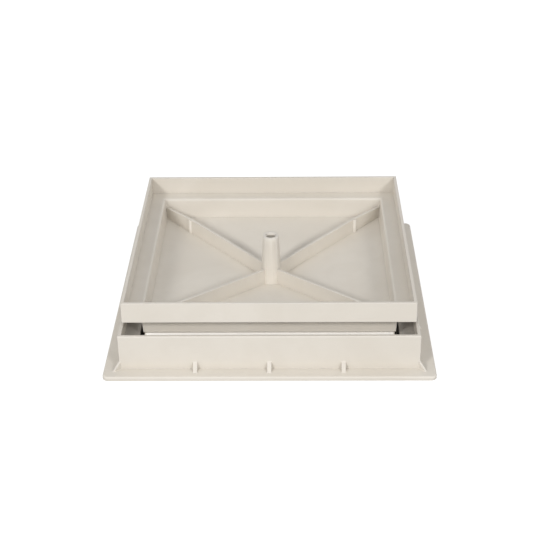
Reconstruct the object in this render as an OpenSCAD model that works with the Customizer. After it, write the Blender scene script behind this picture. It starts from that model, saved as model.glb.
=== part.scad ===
// Recessed access cover: a square infill tray standing in a flanged frame.
// Units are millimetres. Z is up, the front faces -Y, and the origin lies at
// the centre of the frame's underside.

/* [Cover tray] */
// Outer width of the square tray, across its rim
tray_w = 290; // [240:1:400]
// Height of the rim above the ledge
rim_h = 19.5; // [8:0.5:40]
// Thickness of the rim wall
rim_t = 3; // [2:0.1:5]
// Width of the ledge, from the rim's inner face to the mouth of the pan
ledge_w = 16; // [10:0.5:30]
// Thickness of the ledge, the pan walls and the floor
skin_t = 2.2; // [1.6:0.1:3]
// Depth of the pan along its walls, from the ledge to the floor
pan_d = 23.3; // [16:0.1:40]
// Inward lean of the pan walls, from the mouth to the floor
pan_draft = 1.5; // [0.5:0.1:3]
// Rounding where the ledge turns down into the pan
mouth_r = 2.5; // [1:0.1:4]
// Rounding of the pan's lower outside edge
foot_r = 1.5; // [0.5:0.1:2]
// Width of the level foot under the pan, measured in from the pan walls
foot_w = 2; // [1.5:0.1:5]
// Fall of the floor from the pan walls to the centre
floor_fall = 14.7; // [6:0.1:20]

/* [Ribs and lifting post] */
// Thickness of the diagonal ribs
rib_t = 3; // [2:0.1:4]
// Height of the ribs above the floor
rib_h = 17.2; // [8:0.1:20]
// Diameter of the ejector bosses that swell out of the ribs
boss_d = 6; // [4:0.1:9]
// Distance of a boss from both pan walls of its corner
boss_in = 30.5; // [20:0.5:60]
// Drop of the boss tops below the top of the ribs
boss_drop = 1; // [0.5:0.1:3]
// Diameter of the lifting post at its top
post_d = 17.2; // [16:0.1:24]
// Growth of the post's diameter, from its top to the floor
post_taper = 5.4; // [0.5:0.1:7]
// Drop of the post's top below the top of the rim
post_drop = 1; // [0.5:0.5:10]
// Diameter of the key bore through the post
post_bore = 12; // [8:0.1:14]

/* [Frame] */
// Clearance between the tray's rim and the inside of the frame walls
fit_gap = 1.5; // [0.8:0.1:3]
// Thickness of the frame walls
wall_t = 3.5; // [2.5:0.1:5]
// Height of the frame, from the flange's underside to the top of its walls
wall_h = 42; // [36:0.5:60]
// Chamfer along the top outside edge of the walls
wall_edge = 0.6; // [0.2:0.1:1]
// Reach of the flange outside the walls
flange_out = 16; // [12:0.5:30]
// Thickness of the flange
flange_t = 4.5; // [3:0.1:7]
// Corner radius of the flange
flange_r = 6; // [3:0.5:12]
// Chamfer along the flange's top edge
flange_edge = 1; // [0.4:0.1:1.5]
// Drop of the seat below the top of the walls
seat_drop = 14.5; // [11:0.5:17]
// Thickness of the seat
seat_t = 3; // [2:0.1:4]
// Clearance between the pan and the edge of the seat
seat_gap = 2.8; // [1.5:0.1:5]
// Height of the bearing bars above the seat
bar_h = 4.5; // [3:0.1:8]
// Width of a bearing bar
bar_w = 7.4; // [5:0.1:9]
// Chamfer along the outer top edge of a bearing bar
bar_edge = 2.6; // [0.5:0.1:2.8]
// Length by which each end of a bar stops short of the pan's side
bar_short = 1.2; // [0.5:0.1:20]

/* [Gussets] */
// Number of gussets along each wall
gussets = 3; // [1:2:3]
// Distance from one gusset of a wall to the next
gusset_pitch = 74; // [30:1:90]
// Height of the gussets above the flange
gusset_h = 8; // [4:0.5:18]
// Reach of the gussets along the flange
gusset_l = 8.5; // [4:0.5:10]
// Thickness of the gussets along the walls
gusset_t = 4.2; // [3:0.1:6]
// Thickness of the gussets at the corners
corner_t = 2.4; // [2:0.1:4]

/* [Hidden] */
$fn = 64;

// Half widths, measured from the axis
rim_out = tray_w / 2;
rim_in = rim_out - rim_t;
mouth = rim_in - ledge_w;
floor_x = mouth - pan_draft;
foot_in = floor_x - foot_w;
wall_in = rim_out + fit_gap;
wall_out = wall_in + wall_t;
seat_in = mouth + skin_t + seat_gap;
bar_in = foot_in + 0.3;

// Heights, measured from the flange's underside
seat_z = wall_h - seat_drop;
foot_z = seat_z + bar_h;
floor_z = foot_z + skin_t;
ledge_z = floor_z + pan_d;
rim_z = ledge_z + rim_h;
post_z = rim_z - post_drop;
apex_z = floor_z - floor_fall;

boss_x = floor_x - boss_in;
slope = floor_fall / floor_x;

// Both halves of a shape drawn on the right of the axis
module both_sides() {
    children();
    mirror([1, 0]) children();
}

// Square solid that shows the same drawn outline from the front and from the
// side, so that every edge meets its neighbour in a mitre
module square_solid() {
    intersection() {
        rotate([90, 0, 0]) linear_extrude(2 * wall_out, center = true) both_sides() children();
        rotate([90, 0, 90]) linear_extrude(2 * wall_out, center = true) both_sides() children();
    }
}

// What a rounding of radius r leaves over in a corner at the origin
module corner_waste(r) {
    difference() {
        square(r);
        translate([r, r]) circle(r);
    }
}

// Upright square prism between two heights, centred on the axis
module square_prism(half, z0, z1) {
    translate([-half, -half, z0]) cube([2 * half, 2 * half, z1 - z0]);
}

// Half outline of the closed body that the tray is hollowed from
module tray_outline() {
    difference() {
        polygon([
            [0, apex_z - skin_t], [foot_in, foot_z], [floor_x + skin_t, foot_z],
            [mouth + skin_t, ledge_z - skin_t], [rim_out, ledge_z - skin_t], [rim_out, rim_z], [0, rim_z]
        ]);
        translate([floor_x + skin_t, foot_z]) mirror([1, 0]) corner_waste(foot_r);
    }
}

// Half outline of the hollow: rim, rounded mouth, leaning pan walls and the floor that falls to the centre
module hollow_outline() {
    polygon([
        [0, apex_z], [floor_x, floor_z], [mouth, ledge_z - mouth_r], [mouth, ledge_z],
        [rim_in, ledge_z], [rim_in, rim_z + 1], [0, rim_z + 1]
    ]);
    translate([mouth, ledge_z]) mirror([0, 1]) corner_waste(mouth_r);
}

// One diagonal rib: it follows the fall of the floor as far as the boss and runs level from there
module rib() {
    far = floor_x + skin_t;
    top = floor_z + rib_h;
    rotate(45) rotate([90, 0, 0]) linear_extrude(rib_t, center = true)
        polygon([
            [0, apex_z - skin_t], [far * sqrt(2), floor_z - skin_t], [far * sqrt(2), top - slope * boss_in],
            [boss_x * sqrt(2), top - slope * boss_in], [0, apex_z + rib_h]
        ]);
}

// One boss on the rib, open to the pan on both of its sides
module boss() {
    top = floor_z + rib_h - slope * boss_in - boss_drop;
    translate([boss_x, boss_x, apex_z]) cylinder(h = top - apex_z, d = boss_d);
}

module post() {
    translate([0, 0, apex_z]) cylinder(h = post_z - apex_z, d1 = post_d + post_taper, d2 = post_d);
}

module cover_tray() {
    color([0.90, 0.87, 0.82]) difference() {
        square_solid() tray_outline();
        difference() {
            square_solid() hollow_outline();
            for (turn = [0:90:270]) rotate(turn) {
                rib();
                boss();
            }
            post();
        }
        translate([0, 0, apex_z - skin_t - 1]) cylinder(h = post_z - apex_z + skin_t + 2, d = post_bore);
    }
}

// Flange plate with rounded corners and a chamfered top edge
module flange() {
    half = wall_out + flange_out;
    side = [[half, 0], [half, flange_t - flange_edge], [half - flange_edge, flange_t]];
    for (turn = [0, 90])
        rotate([90, 0, turn]) linear_extrude(2 * (half - flange_r), center = true)
            both_sides() polygon(concat([[0, 0]], side, [[0, flange_t]]));
    for (turn = [0:90:270])
        rotate(turn) translate([half - flange_r, half - flange_r]) rotate_extrude()
            polygon([
                [0, 0], [flange_r, 0], [flange_r, flange_t - flange_edge],
                [flange_r - flange_edge, flange_t], [0, flange_t]
            ]);
}

// Triangular gusset that braces an upright face or edge at the given reach, rooted behind it
module gusset(reach, root, thickness) {
    sunk = gusset_l / gusset_h;
    rotate([90, 0, 0]) linear_extrude(thickness, center = true)
        polygon([
            [reach - root, flange_t - 1], [reach + gusset_l + sunk, flange_t - 1],
            [reach, flange_t + gusset_h], [reach - root, flange_t + gusset_h]
        ]);
}

// Bar along the front of the opening that the foot of the pan stands on
module bearing_bar() {
    out = bar_in + bar_w;
    rotate([90, 0, 90]) linear_extrude(2 * (floor_x + skin_t - bar_short), center = true)
        polygon([
            [-bar_in, seat_z - seat_t], [-bar_in, foot_z], [bar_edge - out, foot_z], [-out, foot_z - bar_edge],
            [-out, seat_z], [-seat_in - 1, seat_z], [-seat_in - 1, seat_z - seat_t]
        ]);
}

module frame() {
    first = -gusset_pitch * (gussets - 1) / 2;
    color([0.90, 0.87, 0.82]) {
        difference() {
            union() {
                flange();
                square_solid() polygon([
                    [0, 0], [wall_out, 0], [wall_out, wall_h - wall_edge], [wall_out - wall_edge, wall_h], [0, wall_h]
                ]);
            }
            square_prism(wall_in, seat_z, wall_h + 1);
            square_prism(seat_in, -1, wall_h);
            square_prism(wall_in, -1, seat_z - seat_t);
        }
        for (turn = [0:90:270]) rotate(turn) {
            for (i = [0:gussets - 1]) translate([0, first + i * gusset_pitch]) gusset(wall_out, wall_t / 2, gusset_t);
            rotate(45) gusset(wall_out * sqrt(2), corner_t / 2 + 0.5, corner_t);
        }
        for (turn = [0, 180]) rotate(turn) bearing_bar();
    }
}

frame();
cover_tray();
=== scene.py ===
"""Recessed access cover in ivory moulded plastic, photographed in a bright, plain studio."""

import logging
import math
from dataclasses import dataclass
from enum import Enum

import bpy
from mathutils import Matrix, Vector


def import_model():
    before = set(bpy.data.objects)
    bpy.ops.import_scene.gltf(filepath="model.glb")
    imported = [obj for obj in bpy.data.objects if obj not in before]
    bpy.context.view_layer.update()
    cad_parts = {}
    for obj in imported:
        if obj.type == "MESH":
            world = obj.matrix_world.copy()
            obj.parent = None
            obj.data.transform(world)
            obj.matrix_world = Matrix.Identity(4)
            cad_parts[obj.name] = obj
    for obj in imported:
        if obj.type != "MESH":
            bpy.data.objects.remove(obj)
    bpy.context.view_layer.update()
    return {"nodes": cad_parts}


LOG = logging.getLogger("access_cover")
Socket = bpy.types.NodeSocket
Colour = tuple[float, float, float]
Place = tuple[float, float, float]
Feed = Socket | float | tuple[float, ...]
MM = 0.001
WHITE = (1.0, 1.0, 1.0)


class Part(Enum):
    """The two mouldings, by the names of their solids."""

    FRAME = "frame"
    TRAY = "cover_tray"


class Run(Enum):
    """How a value runs between the ends of a range."""

    SMOOTH = "SMOOTHSTEP"
    STRAIGHT = "LINEAR"


def opaque(colour: Colour) -> tuple[float, ...]:
    """The colour as a node takes it, with full cover."""
    return (*colour, 1.0)


@dataclass(frozen=True)
class Nodes:
    """The node tree of a material or of the world, built up step by step."""

    tree: bpy.types.NodeTree

    @classmethod
    def cleared(cls, owner: bpy.types.Material | bpy.types.World) -> "Nodes":
        """Empties a node tree.

        Args:
            owner: the material or world that has the tree.

        Returns:
            The empty tree.
        """
        owner.use_nodes = True
        owner.node_tree.nodes.clear()
        return cls(owner.node_tree)

    def step(
        self, kind: str, output: str, inputs: dict[str | int, Feed] | None = None, **settings: object
    ) -> Socket:
        """Adds one node.

        Args:
            kind: the node's kind, in Blender's own words.
            output: the name of the wanted output.
            inputs: what goes into its inputs, as links or as plain values.
            settings: the node's own settings, which have to come before its inputs.

        Returns:
            The wanted output.
        """
        node = self.tree.nodes.new(kind)
        for name, setting in settings.items():
            setattr(node, name, setting)
        for slot, feed in (inputs or {}).items():
            if isinstance(feed, Socket):
                self.tree.links.new(feed, node.inputs[slot])
            else:
                node.inputs[slot].default_value = feed
        return node.outputs[output]

    def calculated(self, operation: str, *values: Feed) -> Socket:
        """The result of one operation on plain numbers."""
        return self.step("ShaderNodeMath", "Value", dict(enumerate(values)), operation=operation)

    def moved(self, operation: str, *vectors: Feed) -> Socket:
        """The result of one operation on vectors."""
        return self.step("ShaderNodeVectorMath", "Vector", dict(enumerate(vectors)), operation=operation)

    def tinted(self, amount: Socket, first: Feed, second: Colour) -> Socket:
        """The first colour, turning into the second where the amount is 1."""
        inputs = {"Factor": amount, "A": first, "B": opaque(second)}
        return self.step("ShaderNodeMix", "Result", inputs, data_type="RGBA")

    def blended(self, amount: Socket, first: Socket, second: float) -> Socket:
        """The first number, turning into the second where the amount is 1."""
        inputs = {"Factor": amount, "A": first, "B": second}
        return self.step("ShaderNodeMix", "Result", inputs, data_type="FLOAT")

    def split(self, vector: Socket) -> list[Socket]:
        """Takes a vector apart.

        Args:
            vector: the vector.

        Returns:
            Its parts along X, Y and Z.
        """
        node = self.tree.nodes.new("ShaderNodeSeparateXYZ")
        self.tree.links.new(vector, node.inputs["Vector"])
        return list(node.outputs)

    def relief(self, height: Socket, depth: float, under: Socket) -> Socket:
        """The surface's direction with a relief of the given depth over it."""
        inputs = {"Strength": 1.0, "Distance": depth, "Height": height, "Normal": under}
        return self.step("ShaderNodeBump", "Normal", inputs)

    def end(self, kind: str, shader: Socket) -> None:
        """Ends the tree in an output of the given kind, which shows the shader."""
        output = self.tree.nodes.new(kind)
        self.tree.links.new(shader, output.inputs["Surface"])


@dataclass(frozen=True)
class Ramp:
    """A range of values, and the range that it is spread to."""

    low: float
    high: float
    to_low: float
    to_high: float
    run: Run = Run.SMOOTH

    def spread(self, nodes: Nodes, value: Socket) -> Socket:
        """Spreads a value and holds it at the ends of the range.

        Args:
            nodes: the tree that the value is in.
            value: the value.

        Returns:
            The spread value.
        """
        inputs = {
            "Value": value,
            "From Min": self.low,
            "From Max": self.high,
            "To Min": self.to_low,
            "To Max": self.to_high,
        }
        return nodes.step("ShaderNodeMapRange", "Result", inputs, interpolation_type=self.run.value)


@dataclass(frozen=True)
class Pattern:
    """Cloudy noise from 0 to 1."""

    scale: float
    detail: float
    distortion: float = 0.0

    def draw(self, nodes: Nodes, place: Socket) -> Socket:
        """The noise at a place."""
        inputs = {"Vector": place, "Scale": self.scale, "Detail": self.detail, "Distortion": self.distortion}
        return nodes.step("ShaderNodeTexNoise", "Fac", inputs)


@dataclass(frozen=True)
class PaintedFace:
    """A face of a moulding with painted light or shade, given by a box and the box's mirror images."""

    centre: Place
    half_size: Place
    colour: Colour
    roughness: float
    cover: float = 1.0
    fade: float = 0.3 * MM

    def mask(self, nodes: Nodes) -> Socket:
        """Marks the face: its cover inside the boxes, falling to 0 at their sides.

        Args:
            nodes: the plastic's tree.

        Returns:
            The mask.
        """
        beyond = nodes.step("ShaderNodeTexCoord", "Object")
        for reach in (self.centre, self.half_size):
            beyond = nodes.moved("SUBTRACT", nodes.moved("ABSOLUTE", beyond), reach)
        across, along, up = nodes.split(beyond)
        farthest = nodes.calculated("MAXIMUM", nodes.calculated("MAXIMUM", across, along), up)
        return Ramp(-self.fade, 0.0, self.cover, 0.0).spread(nodes, farthest)


@dataclass(frozen=True)
class MouldedPlastic:
    """Ivory plastic out of a fine-textured mould, with painted highlights along its edges and painted shade
    in its inside corners.
    """

    name: str
    painted_faces: tuple[PaintedFace, ...]
    drift: Place = (0.0, 0.0, 0.0)

    ivory: Colour = (0.745, 0.703, 0.637)
    flow_ivory: Colour = (0.705, 0.660, 0.590)
    # Painted highlight: a lighter colour along the outside edges
    edge_highlight_ivory: Colour = (0.84, 0.81, 0.76)
    # Painted shade: a darker colour along inside corners
    corner_shade_ivory: Colour = (0.58, 0.54, 0.475)
    edge_highlight_roughness: float = 0.34
    ior: float = 1.49
    specular: float = 0.4

    flow: Pattern = Pattern(scale=9.0, detail=3.0, distortion=0.8)
    cloud: Pattern = Pattern(scale=55.0, detail=4.0, distortion=0.3)
    grain: Pattern = Pattern(scale=2300.0, detail=2.0)
    grain_depth: float = 0.03 * MM
    sink_depth: float = 0.10 * MM

    edge_reach: float = 1.1 * MM
    edge_samples: int = 6
    corner_reach: float = 6.0 * MM
    corner_samples: int = 8

    flow_marks: Ramp = Ramp(0.38, 0.68, 0.0, 0.75)
    patches: Ramp = Ramp(0.42, 0.66, 0.0, 0.35)
    corner_shade: Ramp = Ramp(0.50, 0.97, 0.35, 0.0)
    edge_highlight_ramp: Ramp = Ramp(0.03, 0.30, 0.0, 1.0)
    exposure: Ramp = Ramp(0.80, 0.97, 0.0, 0.6)
    satin: Ramp = Ramp(0.3, 0.7, 0.41, 0.52)

    def build(self) -> bpy.types.Material:
        """Builds the material.

        Returns:
            The finished material.
        """
        material = bpy.data.materials.new(self.name)
        nodes = Nodes.cleared(material)
        place = self._placed(nodes)
        cloud = self.cloud.draw(nodes, place)
        rounded = self._rounded(nodes)
        openness = self._openness(nodes)
        edge_highlight = self._edge_highlight(nodes, rounded, openness)

        colour = nodes.tinted(
            self.flow_marks.spread(nodes, self.flow.draw(nodes, place)), opaque(self.ivory), self.flow_ivory
        )
        colour = nodes.tinted(self.patches.spread(nodes, cloud), colour, self.flow_ivory)
        # Painted shade along inside corners, where the surface lies less open
        colour = nodes.tinted(self.corner_shade.spread(nodes, openness), colour, self.corner_shade_ivory)
        # Painted highlight along the outside edges
        colour = nodes.tinted(edge_highlight, colour, self.edge_highlight_ivory)
        rough = nodes.blended(edge_highlight, self.satin.spread(nodes, cloud), self.edge_highlight_roughness)
        for face in self.painted_faces:
            # Painted highlights and painted shade, each in its boxes
            painted = face.mask(nodes)
            colour = nodes.tinted(painted, colour, face.colour)
            rough = nodes.blended(painted, rough, face.roughness)
        relief = nodes.relief(self.grain.draw(nodes, place), self.grain_depth, rounded)
        relief = nodes.relief(cloud, self.sink_depth, relief)

        shader = nodes.step(
            "ShaderNodeBsdfPrincipled",
            "BSDF",
            {
                "Base Color": colour,
                "Roughness": rough,
                "Normal": relief,
                "IOR": self.ior,
                "Specular IOR Level": self.specular,
            },
        )
        nodes.end("ShaderNodeOutputMaterial", shader)
        return material

    def _placed(self, nodes: Nodes) -> Socket:
        """Object coordinates, moved so that the two mouldings don't share one pattern."""
        coordinates = nodes.step("ShaderNodeTexCoord", "Object")
        return nodes.step("ShaderNodeMapping", "Vector", {"Vector": coordinates, "Location": self.drift})

    def _rounded(self, nodes: Nodes) -> Socket:
        """The surface's direction, blended across every edge within the edge reach."""
        inputs = {"Radius": self.edge_reach}
        return nodes.step("ShaderNodeBevel", "Normal", inputs, samples=self.edge_samples)

    def _openness(self, nodes: Nodes) -> Socket:
        """How open the surface lies: 1 on a flat or an edge, less along an inside corner."""
        settings = {"samples": self.corner_samples, "only_local": True}
        return nodes.step("ShaderNodeAmbientOcclusion", "AO", {"Distance": self.corner_reach}, **settings)

    def _edge_highlight(self, nodes: Nodes, rounded: Socket, openness: Socket) -> Socket:
        """Marks the outside edges, where the surface turns within the edge reach, for a painted highlight.

        Args:
            nodes: the plastic's tree.
            rounded: the surface's direction, blended across every edge.
            openness: how open the surface lies.

        Returns:
            The mask.
        """
        flat = nodes.step("ShaderNodeNewGeometry", "True Normal")
        turned = nodes.step("ShaderNodeVectorMath", "Value", {0: rounded, 1: flat}, operation="DISTANCE")
        edge = self.edge_highlight_ramp.spread(nodes, turned)
        return nodes.calculated("MULTIPLY", edge, self.exposure.spread(nodes, openness))


@dataclass(frozen=True)
class Moulding:
    """One moulding: a solid with its edges eased as they leave a mould."""

    part: Part
    plastic: MouldedPlastic
    weld_reach: float = 0.001 * MM
    flat_turn: float = math.radians(0.5)
    edge_radius: float = 0.35 * MM
    edge_segments: int = 2
    edge_turn: float = math.radians(25)

    def ease_edges(self, solid: bpy.types.Object) -> None:
        """Rounds the sharp edges with live modifiers.

        Args:
            solid: the moulding's object.
        """
        weld = solid.modifiers.new("join_faces", "WELD")
        weld.merge_threshold = self.weld_reach
        flat = solid.modifiers.new("clean_flats", "DECIMATE")
        flat.decimate_type = "DISSOLVE"
        flat.angle_limit = self.flat_turn
        bevel = solid.modifiers.new("eased_edges", "BEVEL")
        bevel.width = self.edge_radius
        bevel.segments = self.edge_segments
        bevel.limit_method = "ANGLE"
        bevel.angle_limit = self.edge_turn
        bevel.harden_normals = True

    def dress(self, solid: bpy.types.Object) -> None:
        """Gives the moulding its plastic."""
        solid.data.materials.clear()
        solid.data.materials.append(self.plastic.build())

    def build(self, nodes: dict[str, bpy.types.Object]) -> bpy.types.Object:
        """Finishes the solid of this moulding.

        Args:
            nodes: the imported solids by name.

        Returns:
            The finished object.
        """
        solid = nodes[self.part.value]
        self.ease_edges(solid)
        self.dress(solid)
        return solid


@dataclass(frozen=True)
class PhotoCamera:
    """The photo's camera: where it stands, how it looks in degrees, and its lens in millimetres."""

    position: Place = (0.02509, -1.18353, 0.69944)
    elevation: float = 29.484
    azimuth: float = 1.177
    roll: float = -0.763
    lens: float = 82.207
    sensor: float = 36.0
    nearest: float = 0.05
    farthest: float = 50.0

    def turned(self) -> Matrix:
        """Works out the camera's rotation from its azimuth, elevation and roll.

        Returns:
            A matrix whose columns are the camera's right, up and back.
        """
        azimuth, elevation, roll = map(math.radians, (self.azimuth, self.elevation, self.roll))
        reach = math.cos(elevation)
        ahead = Vector((-math.sin(azimuth) * reach, math.cos(azimuth) * reach, -math.sin(elevation)))
        level = ahead.cross(Vector((0.0, 0.0, 1.0))).normalized()
        upward = level.cross(ahead)
        right = level * math.cos(roll) + upward * math.sin(roll)
        up = upward * math.cos(roll) - level * math.sin(roll)
        return Matrix((right, up, -ahead)).transposed()

    def build(self) -> None:
        """Adds the camera and makes it the scene's."""
        data = bpy.data.cameras.new("photo_camera")
        data.lens = self.lens
        data.sensor_width = self.sensor
        data.clip_start = self.nearest
        data.clip_end = self.farthest
        camera = bpy.data.objects.new("photo_camera", data)
        bpy.context.scene.collection.objects.link(camera)
        camera.matrix_world = Matrix.Translation(self.position) @ self.turned().to_4x4()
        bpy.context.scene.camera = camera


@dataclass(frozen=True)
class SoftBox:
    """One studio lamp, turned to the object."""

    name: str
    position: Place
    power: float
    target: Place = (0.0, 0.0, 0.0)
    width: float = 0.7
    height: float = 0.7
    colour: Colour = (1.0, 0.99, 0.975)

    def build(self) -> None:
        """Adds the lamp."""
        data = bpy.data.lights.new(self.name, "AREA")
        data.shape = "RECTANGLE"
        data.size = self.width
        data.size_y = self.height
        data.energy = self.power
        data.color = self.colour
        lamp = bpy.data.objects.new(self.name, data)
        bpy.context.scene.collection.objects.link(lamp)
        aim = Vector(self.target) - Vector(self.position)
        lamp.location = self.position
        lamp.rotation_euler = aim.to_track_quat("-Z", "Y").to_euler()


@dataclass(frozen=True)
class Studio:
    """A plain pale floor under soft light, against white."""

    floor_size: float = 14.0
    floor_gap: float = 0.05 * MM
    floor_colour: Colour = (0.62, 0.62, 0.62)
    floor_lift: Ramp = Ramp(0.5, 2.0, 0.65, 0.78, Run.STRAIGHT)
    shaded_half: float = 0.16
    ambient: float = 0.516
    lamps: tuple[SoftBox, ...] = (
        SoftBox("left_box", (-1.867, -2.876, 2.060), 57.5),
        SoftBox("right_box", (1.867, -2.876, 2.060), 47.5),
    )

    def floor(self) -> None:
        """Adds the floor, which shows white with a faint shadow."""
        bpy.ops.object.select_all(action="DESELECT")
        bpy.ops.mesh.primitive_plane_add(size=self.floor_size, location=(0.0, 0.0, -self.floor_gap))
        floor = bpy.context.active_object
        floor.name = "studio_floor"
        material = bpy.data.materials.new("studio_floor")
        nodes = Nodes.cleared(material)
        matt = nodes.step("ShaderNodeBsdfDiffuse", "BSDF", {"Color": opaque(self.floor_colour)})
        seen = nodes.step("ShaderNodeLightPath", "Is Camera Ray")
        strength = nodes.calculated("MULTIPLY", seen, self._open_floor(nodes))
        glow = nodes.step("ShaderNodeEmission", "Emission", {"Strength": strength})
        both = nodes.step("ShaderNodeAddShader", "Shader", {0: matt, 1: glow})
        nodes.end("ShaderNodeOutputMaterial", both)
        floor.data.materials.append(material)

    def _open_floor(self, nodes: Nodes) -> Socket:
        """Works out the floor's glow around the object, with none on the square inside its walls.

        Args:
            nodes: the floor's tree.

        Returns:
            The strength of the glow.
        """
        across, along, _ = nodes.split(nodes.step("ShaderNodeTexCoord", "Object"))
        sides = (nodes.calculated("ABSOLUTE", side) for side in (across, along))
        farther = nodes.calculated("MAXIMUM", *sides)
        outside = nodes.calculated("GREATER_THAN", farther, self.shaded_half)
        return nodes.calculated("MULTIPLY", outside, self.floor_lift.spread(nodes, farther))

    def surroundings(self) -> None:
        """Sets the world: white to the camera, a plain soft light to the object."""
        world = bpy.data.worlds.new("studio_world")
        nodes = Nodes.cleared(world)
        seen = nodes.step("ShaderNodeLightPath", "Is Camera Ray")
        strength = Ramp(0.0, 1.0, self.ambient, 1.0, Run.STRAIGHT).spread(nodes, seen)
        inputs = {"Color": opaque(WHITE), "Strength": strength}
        sky = nodes.step("ShaderNodeBackground", "Background", inputs)
        nodes.end("ShaderNodeOutputWorld", sky)
        bpy.context.scene.world = world

    def build(self) -> None:
        """Adds the floor, the surroundings and the lamps."""
        self.floor()
        self.surroundings()
        for lamp in self.lamps:
            lamp.build()
        bpy.context.scene.view_settings.view_transform = "Standard"


# Painted highlight on the two bearing bars: a lighter colour, with a glossier finish
BAR_HIGHLIGHT = PaintedFace(
    centre=(0.0, 126.5 * MM, 29.9 * MM),
    half_size=(124.0 * MM, 4.0 * MM, 2.35 * MM),
    colour=(0.95, 0.93, 0.90),
    roughness=0.25,
)

# Painted shade on the top of the seat inside the walls, under the tray
SHADED_SEAT = PaintedFace(
    centre=(0.0, 0.0, 27.5 * MM),
    half_size=(147.0 * MM, 147.0 * MM, 0.6 * MM),
    colour=(0.43, 0.405, 0.37),
    roughness=0.7,
    cover=0.95,
)

# Painted shade on the inside of the key bore, darker and rougher from 3 mm below its mouth. The box is just
# wider than the bore, so that it clears the outside of the post
SHADED_BORE = PaintedFace(
    centre=(0.0, 0.0, 45.4 * MM),
    half_size=(6.05 * MM, 6.05 * MM, 27.4 * MM),
    colour=(0.31, 0.275, 0.235),
    roughness=0.7,
    cover=0.78,
    fade=0.05 * MM,
)


def main() -> None:
    """Builds the cover, the studio and the camera."""
    logging.basicConfig(level=logging.INFO, format="%(name)s: %(message)s")
    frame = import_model()
    frame_plastic = MouldedPlastic("frame_plastic", (SHADED_SEAT, BAR_HIGHLIGHT), drift=(0.37, 0.11, 0.23))
    mouldings = (
        Moulding(Part.FRAME, frame_plastic),
        Moulding(Part.TRAY, MouldedPlastic("tray_plastic", (SHADED_BORE,))),
    )
    for moulding in mouldings:
        piece = moulding.build(frame["nodes"])
        LOG.info("%s finished in %s", piece.name, moulding.plastic.name)
    Studio().build()
    PhotoCamera().build()


if __name__ == "__main__":
    main()
